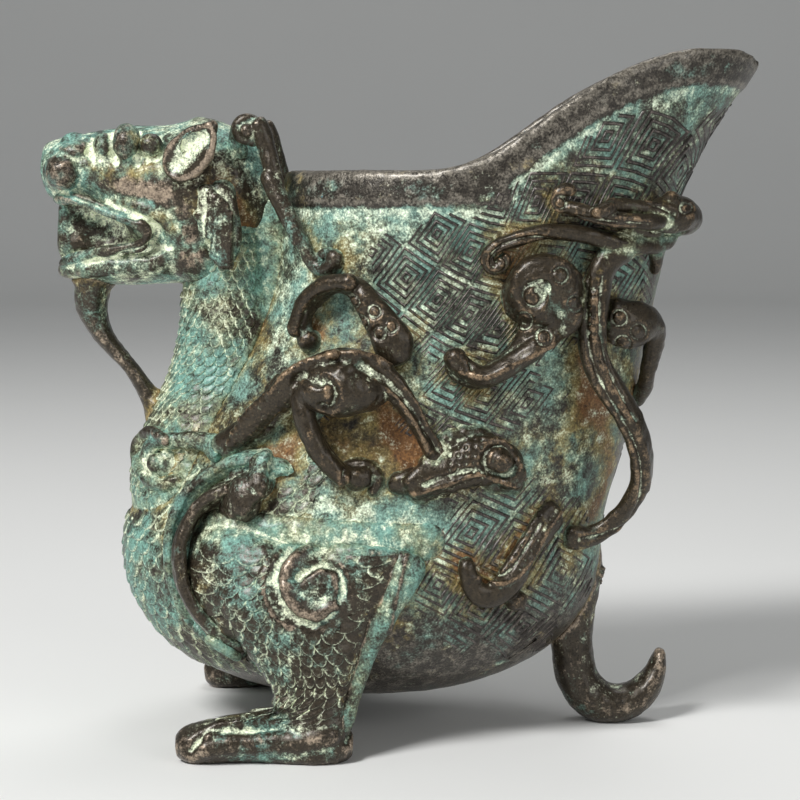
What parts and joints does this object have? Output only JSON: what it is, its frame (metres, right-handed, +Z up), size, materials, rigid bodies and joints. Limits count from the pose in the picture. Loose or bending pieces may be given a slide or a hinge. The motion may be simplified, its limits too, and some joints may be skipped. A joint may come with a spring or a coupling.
{
  "type": "beast-shaped bronze pouring vessel",
  "caption": "Patinated cast bronze cup shaped as a scaly beast, with a rising pouring lip, forelegs, a hooked rear foot and small dragons climbing its wall.",
  "frame": {"origin": "on the table, under the middle of the whole vessel", "axes": "+Z up, +X towards the pouring lip, -X towards the beast's nose, -Y the beast's left side"},
  "size_m": [0.1503, 0.0764, 0.1424],
  "materials": {
    "cup_bronze": "old cast bronze with green patina",
    "beast_bronze": "old cast bronze with green patina",
    "dragon_bronze": "old cast bronze with green patina"
  },
  "bodies": {
    "root": {"cup": "cup_bronze", "neck": "beast_bronze", "head": "beast_bronze", "lower_jaw": "beast_bronze", "beard_strut": "beast_bronze", "rear_foot": "beast_bronze", "left_lip": "beast_bronze", "right_lip": "beast_bronze", "left_eye": "beast_bronze", "right_eye": "beast_bronze", "left_ear": "beast_bronze", "right_ear": "beast_bronze", "left_cheek_frill": "beast_bronze", "right_cheek_frill": "beast_bronze", "left_mane_lock": "beast_bronze", "right_mane_lock": "beast_bronze", "left_breast_scroll": "beast_bronze", "right_breast_scroll": "beast_bronze", "left_wing_rib_outer": "beast_bronze", "right_wing_rib_outer": "beast_bronze", "left_wing_rib_inner": "beast_bronze", "right_wing_rib_inner": "beast_bronze", "left_wing_bud": "beast_bronze", "right_wing_bud": "beast_bronze", "left_foreleg": "beast_bronze", "right_foreleg": "beast_bronze", "left_leg_fin": "beast_bronze", "right_leg_fin": "beast_bronze", "left_side_dragon_torso": "dragon_bronze", "right_side_dragon_torso": "dragon_bronze", "left_side_dragon_lower_leg": "dragon_bronze", "right_side_dragon_lower_leg": "dragon_bronze", "left_side_dragon_upper_leg": "dragon_bronze", "right_side_dragon_upper_leg": "dragon_bronze", "left_side_dragon_tail": "dragon_bronze", "right_side_dragon_tail": "dragon_bronze", "rear_dragon_body": "dragon_bronze", "rear_dragon_head": "dragon_bronze", "rear_dragon_lower_horn": "dragon_bronze", "rear_dragon_upper_horn": "dragon_bronze", "rear_dragon_near_leg": "dragon_bronze", "rear_dragon_far_leg": "dragon_bronze", "rear_dragon_chin_tuft": "dragon_bronze", "rear_dragon_tail_scroll": "dragon_bronze"}
  },
  "joints": []
}
